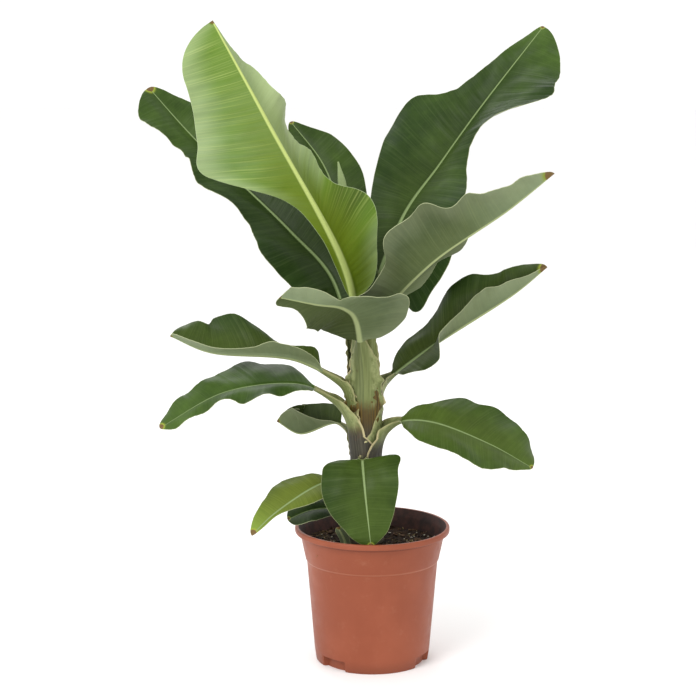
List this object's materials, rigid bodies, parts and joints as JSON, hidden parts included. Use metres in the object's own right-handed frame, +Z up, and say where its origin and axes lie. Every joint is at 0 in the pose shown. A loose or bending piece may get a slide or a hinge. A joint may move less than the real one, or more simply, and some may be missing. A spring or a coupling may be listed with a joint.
{
  "type": "potted banana plant",
  "caption": "Young banana plant with a sheathed pseudostem, arching broad leaves and one rolled new leaf, in a round terracotta-coloured nursery pot.",
  "frame": {"origin": "centre of the pot's flat underside", "axes": "+Z up, the plant's height; -Y towards the side that the picture looks at; +X to that view's right"},
  "size_m": [0.5818, 0.4065, 0.8638],
  "materials": {
    "pot": "satin terracotta-coloured moulded plastic",
    "soil": "damp dark potting mix with bark, fibre and pale grit",
    "stem": "smooth green leaf sheaths, dried brown and cream at their edges",
    "leaf": "waxy dark green upper face, paler grey-green underside",
    "young_leaf": "thin bright yellow-green young leaf"
  },
  "bodies": {
    "root": {"pot": "pot", "soil": "soil", "pseudostem": "stem", "leaf_rolled_new": "young_leaf", "leaf_young_upper_left": "young_leaf", "leaf_upper_left": "leaf", "leaf_upper_back": "leaf", "leaf_upper_right": "leaf", "leaf_upper_front_right": "leaf", "leaf_middle_front": "leaf", "leaf_middle_left": "leaf", "leaf_middle_right": "leaf", "leaf_lower_left": "leaf", "leaf_lower_right": "leaf", "leaf_small_back_left": "leaf", "leaf_hanging_front": "leaf", "leaf_low_left": "leaf", "leaf_basal_left": "leaf", "leaf_small_sprout": "leaf"}
  },
  "joints": []
}
